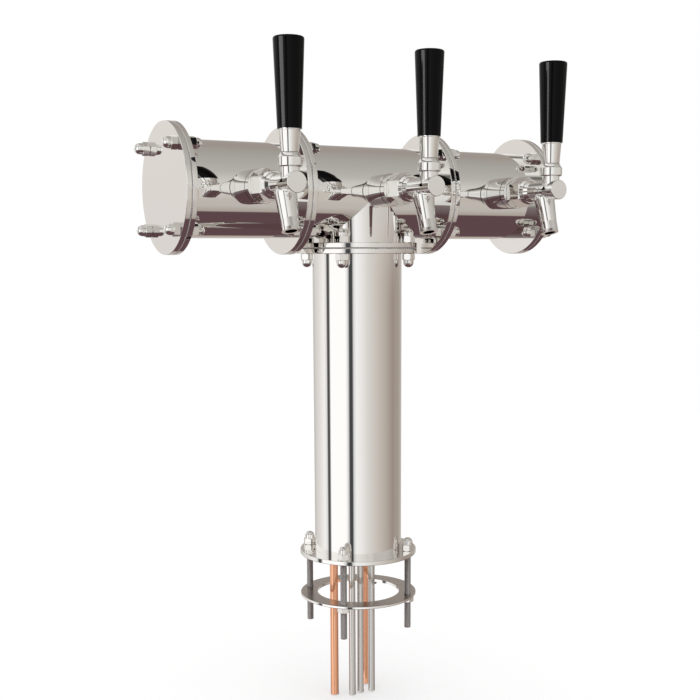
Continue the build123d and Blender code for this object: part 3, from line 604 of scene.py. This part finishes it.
# %% [markdown]
# ## Nuts
#
# A nut is a hexagon whose corners are turned off at both ends. A Bevel modifier
# would cut all its edges alike. Here the hexagon is cut by a turned outline: at
# every angle and height the skin is whichever is nearer, the flat or the
# turned cone. That gives the curved bevels that real nuts have.

# %% Nut sizes
nut_flats = 0.0127
nut_corner = nut_flats / math.sqrt(3)
face_share = 0.96
washer_face = nut_flats / 2 * face_share
bevel_height, bevel_steps = 0.0007, 4
# The clamp nuts run along the rods, so their bores clear the threads' crests
rod_radius, nut_running_gap = 0.00397, 0.00008
nut_bore = rod_radius + nut_running_gap


def hex_radius(angle):
    """Distance from a nut's axis to its hexagon's side; a corner is at angle 0."""
    return nut_flats / 2 / math.cos(angle % (math.pi / 3) - math.pi / 6)


print("a nut is", round(nut_corner * 2000, 2), "mm over its corners")

# %% [markdown]
# An outline is a list of heights and radii. A dome nut's has a hexagon, a
# short neck and half a ball, and a clamp nut's has a hexagon and a bore.

# %% Nut outlines
hex_height, neck_height, dome_radius, dome_step, dome_steps = 0.0074, 0.0024, 0.0058, 0.0001, 8
clamp_nut_height = 0.006


def bevelled_hex(height, top_face):
    """Outline of a hexagon's side from its foot up, bevelled at both ends."""
    rows = []
    for k in range(bevel_steps + 1):
        share = k / bevel_steps
        rows.append((bevel_height * share, washer_face + (nut_corner - washer_face) * share))
    for k in range(bevel_steps + 1):
        share = k / bevel_steps
        rows.append((height - bevel_height * (1 - share), nut_corner - (nut_corner - top_face) * share))
    return rows


dome_outline = [(0.0, 0.0), *bevelled_hex(hex_height, washer_face), (hex_height, dome_radius + dome_step)]
for k in range(dome_steps + 1):
    turn = math.pi / 2 * k / dome_steps
    height = hex_height + neck_height + dome_radius * math.sin(turn)
    dome_outline.append((height, dome_radius * math.cos(turn)))
clamp_outline = [(0.0, nut_bore), *bevelled_hex(clamp_nut_height, washer_face),
                 (clamp_nut_height, nut_bore)]
print("a dome nut is", round(dome_outline[-1][0] * 1000, 2), "mm tall")

# %% [markdown]
# The outline is skinned round the nut's axis, ring by ring. A bored nut's last
# ring joins its first, which gives it the wall of its bore. Rings that meet in
# one point, as at a dome's top, are merged. With 36 points round, every corner
# and the middle of every flat is met exactly.

# %% Skinning a nut
nut_sides_round = 36


def nut_mesh(name, outline, bored):
    """Skin an outline round a nut's axis; a bored nut's last row joins its first."""
    shape = bmesh.new()
    rows = []
    for height, limit in outline:
        row = []
        for k in range(nut_sides_round):
            angle = math.tau * k / nut_sides_round
            radius = min(limit, hex_radius(angle))
            row.append(shape.verts.new((radius * math.cos(angle), radius * math.sin(angle), height)))
        rows.append(row)
    pairs = list(zip(rows, rows[1:]))
    if bored:
        pairs.append((rows[-1], rows[0]))
    for lower, upper in pairs:
        for k in range(nut_sides_round):
            after = (k + 1) % nut_sides_round
            shape.faces.new((lower[k], lower[after], upper[after], upper[k]))
    bmesh.ops.remove_doubles(shape, verts=shape.verts, dist=1e-7)
    bmesh.ops.recalc_face_normals(shape, faces=shape.faces)
    mesh = bpy.data.meshes.new(name)
    shape.to_mesh(mesh)
    shape.free()
    return bpy.data.objects.new(name, mesh)


dome_nut = nut_mesh("dome_nut", dome_outline, bored=False)
clamp_nut = nut_mesh("clamp_nut", clamp_outline, bored=True)
print("a dome nut has", len(dome_nut.data.polygons), "faces")

# %% [markdown]
# ## Placing the nuts
#
# The nuts could be copied and turned one by one in a loop. A Geometry Nodes
# tree does the same for as many points as it is given, so one way of building
# a tree serves all the nuts. It reads each point's axis and turns the copy's Z
# to it, and then turns the copy about that axis until its X faces outward.
# Every tree here starts with named inputs, and ends in Realize Instances and
# Set Material.


# %% A tree that sets a copy on every point
def start_tree(name, inputs):
    """A geometry tree with a geometry input, named inputs and a geometry output."""
    tree = bpy.data.node_groups.new(name, "GeometryNodeTree")
    tree.interface.new_socket("Geometry", in_out="INPUT", socket_type="NodeSocketGeometry")
    for label, kind in inputs:
        tree.interface.new_socket(label, in_out="INPUT", socket_type=kind)
    tree.interface.new_socket("Geometry", in_out="OUTPUT", socket_type="NodeSocketGeometry")
    return tree, add_node(tree, "NodeGroupInput").outputs


def end_tree(tree, geometry, material):
    """Close a tree: copies made real, faces given their material."""
    real = add_node(tree, "GeometryNodeRealizeInstances", i0=geometry)
    painted = add_node(tree, "GeometryNodeSetMaterial", Geometry=real.outputs[0], Material=material)
    add_node(tree, "NodeGroupOutput", i0=painted.outputs[0])


def seating_tree(name, pattern, material):
    """Copies of one object on the points, their axis and outward direction as the points say."""
    tree, given = start_tree(name, [("Scale", "NodeSocketFloat")])
    turn = None
    for label, axis, pivot in (("axis", "Z", "AUTO"), ("outward", "X", "Z")):
        read = add_node(tree, "GeometryNodeInputNamedAttribute", {"data_type": "FLOAT_VECTOR"}, Name=label)
        facing = {"axis": axis, "pivot_axis": pivot}
        aligned = add_node(tree, "FunctionNodeAlignRotationToVector", facing,
                           Vector=read.outputs["Attribute"])
        if turn is not None:
            tree.links.new(turn, aligned.inputs["Rotation"])
        turn = aligned.outputs[0]
    source = add_node(tree, "GeometryNodeObjectInfo", Object=pattern)
    copies = add_node(tree, "GeometryNodeInstanceOnPoints", Points=given["Geometry"],
                      Instance=source.outputs["Geometry"], Rotation=turn, Scale=given["Scale"])
    end_tree(tree, copies.outputs[0], material)
    return tree


steel_nuts = seating_tree("seat_dome_nuts", dome_nut, mirror_steel)
ring_nuts = seating_tree("seat_clamp_nuts", clamp_nut, mirror_steel)
print("each tree has", len(steel_nuts.nodes), "nodes")

# %% [markdown]
# A tree runs on a helper object, and its evaluated result is taken as a plain
# mesh, so that the piece kept is exactly what is seen. Each new piece rides
# a body of the mechanism and stands for the node that it is drawn over.


# %% Nuts in place
def grow(name, mesh, tree, values, body, node):
    """Run a tree on a mesh and keep its result as a plain piece that stands for a CAD node."""
    helper = bpy.data.objects.new(name + "_helper", mesh)
    scene.collection.objects.link(helper)
    step = helper.modifiers.new("grow", "NODES")
    step.node_group = tree
    for item in tree.interface.items_tree:
        if item.name in values:
            step[item.identifier] = values[item.name]
    result = bpy.data.meshes.new_from_object(helper.evaluated_get(bpy.context.evaluated_depsgraph_get()))
    helper.modifiers.remove(step)
    bpy.data.objects.remove(helper)
    outward = bmesh.new()
    outward.from_mesh(result)
    bmesh.ops.recalc_face_normals(outward, faces=outward.faces)
    outward.to_mesh(result)
    outward.free()
    piece = bpy.data.objects.new(name, result)
    scene.collection.objects.link(piece)
    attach(piece, body)
    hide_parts(node)
    print(name, "has", len(result.polygons), "faces")


true_size = {"Scale": 1.0}
for node, tree, body in (("joint_dome_nuts", steel_nuts, "tower"), ("base_dome_nuts", steel_nuts, "tower"),
                         ("clamp_nuts", ring_nuts, "clamp")):
    grow("bevelled_" + node, nut_clouds[node], tree, true_size, body, node)

# %% [markdown]
# ## Threaded rods
#
# A rolled thread is a groove that winds round the rod once for each pitch. As a
# bump on a plain rod it would leave the outline smooth, so the grooves are
# real ones. A grid is wrapped round the rod's axis, and each point's radius
# follows a triangle wave of its height less its angle. Drawn in at both ends,
# the grid closes into one solid, and the four rods are copies of it.

# %% Rod sizes
thread_pitch, thread_depth = 0.00141, 0.00045
rows_per_turn, points_round = 4, 12
rod_length = rods[0][1].z - rods[0][0].z
rod_rows = round(rod_length / thread_pitch * rows_per_turn)
upward, sideways = Vector((0.0, 0.0, 1.0)), Vector((1.0, 0.0, 0.0))
rod_places = [(Vector(((low.x + high.x) / 2, (low.y + high.y) / 2, low.z)), upward, sideways)
              for low, high in rods]
print("a rod is", round(rod_length * 1000, 1), "mm long and has", rod_rows, "rows of points")

# %% [markdown]
# The grid is one across and has its middle at the origin, so half is added to
# count from its edges: X becomes the share of the way up, and Y the share of
# the way round.

# %% Thread tree
closed_end = 0.0001
tree, given = start_tree("threaded_rods", [
    ("Length", "NodeSocketFloat"), ("Radius", "NodeSocketFloat"), ("Pitch", "NodeSocketFloat"),
    ("Depth", "NodeSocketFloat"), ("Rows", "NodeSocketInt"), ("Around", "NodeSocketInt"),
])
grid = add_node(tree, "GeometryNodeMeshGrid", Size_X=1.0, Size_Y=1.0, Vertices_X=given["Rows"],
                Vertices_Y=given["Around"])
spot = add_node(tree, "ShaderNodeSeparateXYZ",
                i0=add_node(tree, "GeometryNodeInputPosition").outputs[0]).outputs
known = {socket.name: socket for socket in given if socket.name}
known.update(X=spot["X"], Y=spot["Y"])
for name, operation, *values in (
    ("up share", "ADD", "X", 0.5),
    ("round share", "ADD", "Y", 0.5),
    ("height", "MULTIPLY", "up share", "Length"),
    ("turns", "DIVIDE", "height", "Pitch"),
    ("phase", "SUBTRACT", "turns", "round share"),
    ("half groove", "PINGPONG", "phase", 0.5),
    ("groove", "MULTIPLY", "half groove", 2.0),
    ("cut", "MULTIPLY", "groove", "Depth"),
    ("crest", "SUBTRACT", "Radius", "cut"),
    ("from middle", "ABSOLUTE", "X"),
    ("to end", "SUBTRACT", 0.5, "from middle"),
    ("inside", "GREATER_THAN", "to end", closed_end),
    ("reach", "MULTIPLY", "crest", "inside"),
    ("angle", "MULTIPLY", "round share", math.tau),
    ("cosine", "COSINE", "angle"),
    ("sine", "SINE", "angle"),
    ("across", "MULTIPLY", "reach", "cosine"),
    ("deep", "MULTIPLY", "reach", "sine"),
):
    inputs = {f"i{place}": known.get(value, value) for place, value in enumerate(values)}
    known[name] = add_node(tree, "ShaderNodeMath", {"operation": operation}, **inputs).outputs[0]
wound = add_node(tree, "ShaderNodeCombineXYZ", X=known["across"], Y=known["deep"], Z=known["height"])
rod = add_node(tree, "GeometryNodeSetPosition", Geometry=grid.outputs["Mesh"], Position=wound.outputs[0])
closed = add_node(tree, "GeometryNodeMergeByDistance", Geometry=rod.outputs[0], Distance=1e-6)
four = add_node(tree, "GeometryNodeInstanceOnPoints", Points=given["Geometry"], Instance=closed.outputs[0])
end_tree(tree, four.outputs[0], rolled_thread)
print("the thread tree has", len(tree.nodes), "nodes")

# %% [markdown]
# The tree's sizes are given here, by name, and the four rods take the place of
# the solid model's plain ones.

# %% Rods in place
thread_sizes = {"Length": rod_length, "Radius": rod_radius, "Pitch": thread_pitch, "Depth": thread_depth,
                "Rows": rod_rows, "Around": points_round + 1}
rod_cloud = point_cloud("rod_points", rod_places)
grow("threaded_rods", rod_cloud, tree, thread_sizes, "tower", "mounting_rods")
